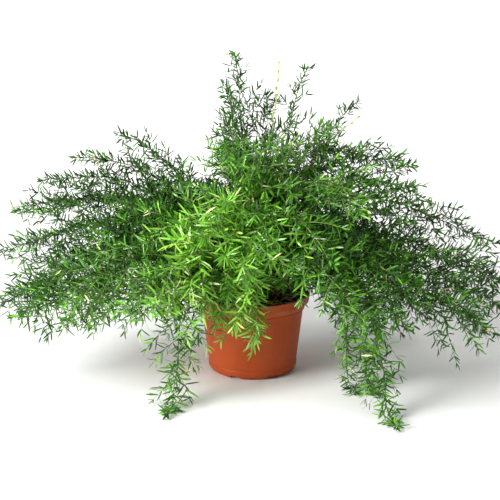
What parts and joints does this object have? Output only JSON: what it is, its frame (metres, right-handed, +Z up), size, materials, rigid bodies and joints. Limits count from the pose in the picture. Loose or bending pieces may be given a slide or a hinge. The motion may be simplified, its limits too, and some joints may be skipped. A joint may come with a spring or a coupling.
{
  "type": "potted asparagus fern",
  "caption": "Asparagus fern with arching, needle-leaved fronds, some trailing over the rim, growing in a round terracotta-coloured plastic nursery pot.",
  "frame": {"origin": "centre of the pot's flat underside, on the surface that it stands on", "axes": "+Z up, -Y towards the front of the plant, +X to the right along the widest spread of the fronds"},
  "size_m": [0.6986, 0.4677, 0.426],
  "materials": {
    "terracotta_plastic": "satin moulded polypropylene, terracotta orange",
    "potting_mix": "damp dark peat and bark crumb with pale fibres",
    "woody_crown": "rough brown bark",
    "fern_foliage": "satin living leaf, mid to bright green",
    "young_stem": "satin pale green young stem"
  },
  "bodies": {
    "root": {"frond_01": "fern_foliage", "frond_02": "fern_foliage", "frond_03": "fern_foliage", "frond_04": "fern_foliage", "frond_05": "fern_foliage", "frond_06": "fern_foliage", "frond_07": "fern_foliage", "frond_08": "fern_foliage", "frond_09": "fern_foliage", "frond_10": "fern_foliage", "frond_11": "fern_foliage", "frond_12": "fern_foliage", "frond_13": "fern_foliage", "frond_14": "fern_foliage", "frond_15": "fern_foliage", "frond_16": "fern_foliage", "frond_17": "fern_foliage", "frond_18": "fern_foliage", "frond_19": "fern_foliage", "frond_20": "fern_foliage", "frond_21": "fern_foliage", "frond_22": "fern_foliage", "frond_23": "fern_foliage", "frond_24": "fern_foliage", "frond_25": "fern_foliage", "frond_26": "fern_foliage", "frond_27": "fern_foliage", "frond_28": "fern_foliage", "frond_29": "fern_foliage", "frond_30": "fern_foliage", "frond_31": "fern_foliage", "frond_32": "fern_foliage", "frond_33": "fern_foliage", "frond_34": "fern_foliage", "frond_35": "fern_foliage", "frond_36": "fern_foliage", "frond_37": "fern_foliage", "frond_38": "fern_foliage", "frond_39": "fern_foliage", "frond_40": "fern_foliage", "frond_41": "fern_foliage", "frond_42": "fern_foliage", "frond_43": "fern_foliage", "frond_44": "fern_foliage", "frond_45": "fern_foliage", "frond_46": "fern_foliage", "frond_47": "fern_foliage", "frond_48": "fern_foliage", "frond_49": "fern_foliage", "frond_50": "fern_foliage", "nursery_pot": "terracotta_plastic", "potting_mix": "potting_mix", "root_crown": "woody_crown", "trailing_frond_01": "fern_foliage", "trailing_frond_02": "fern_foliage", "trailing_frond_03": "fern_foliage", "trailing_frond_04": "fern_foliage", "young_shoot_01": "young_stem", "young_shoot_02": "young_stem", "young_shoot_03": "young_stem"}
  },
  "joints": []
}
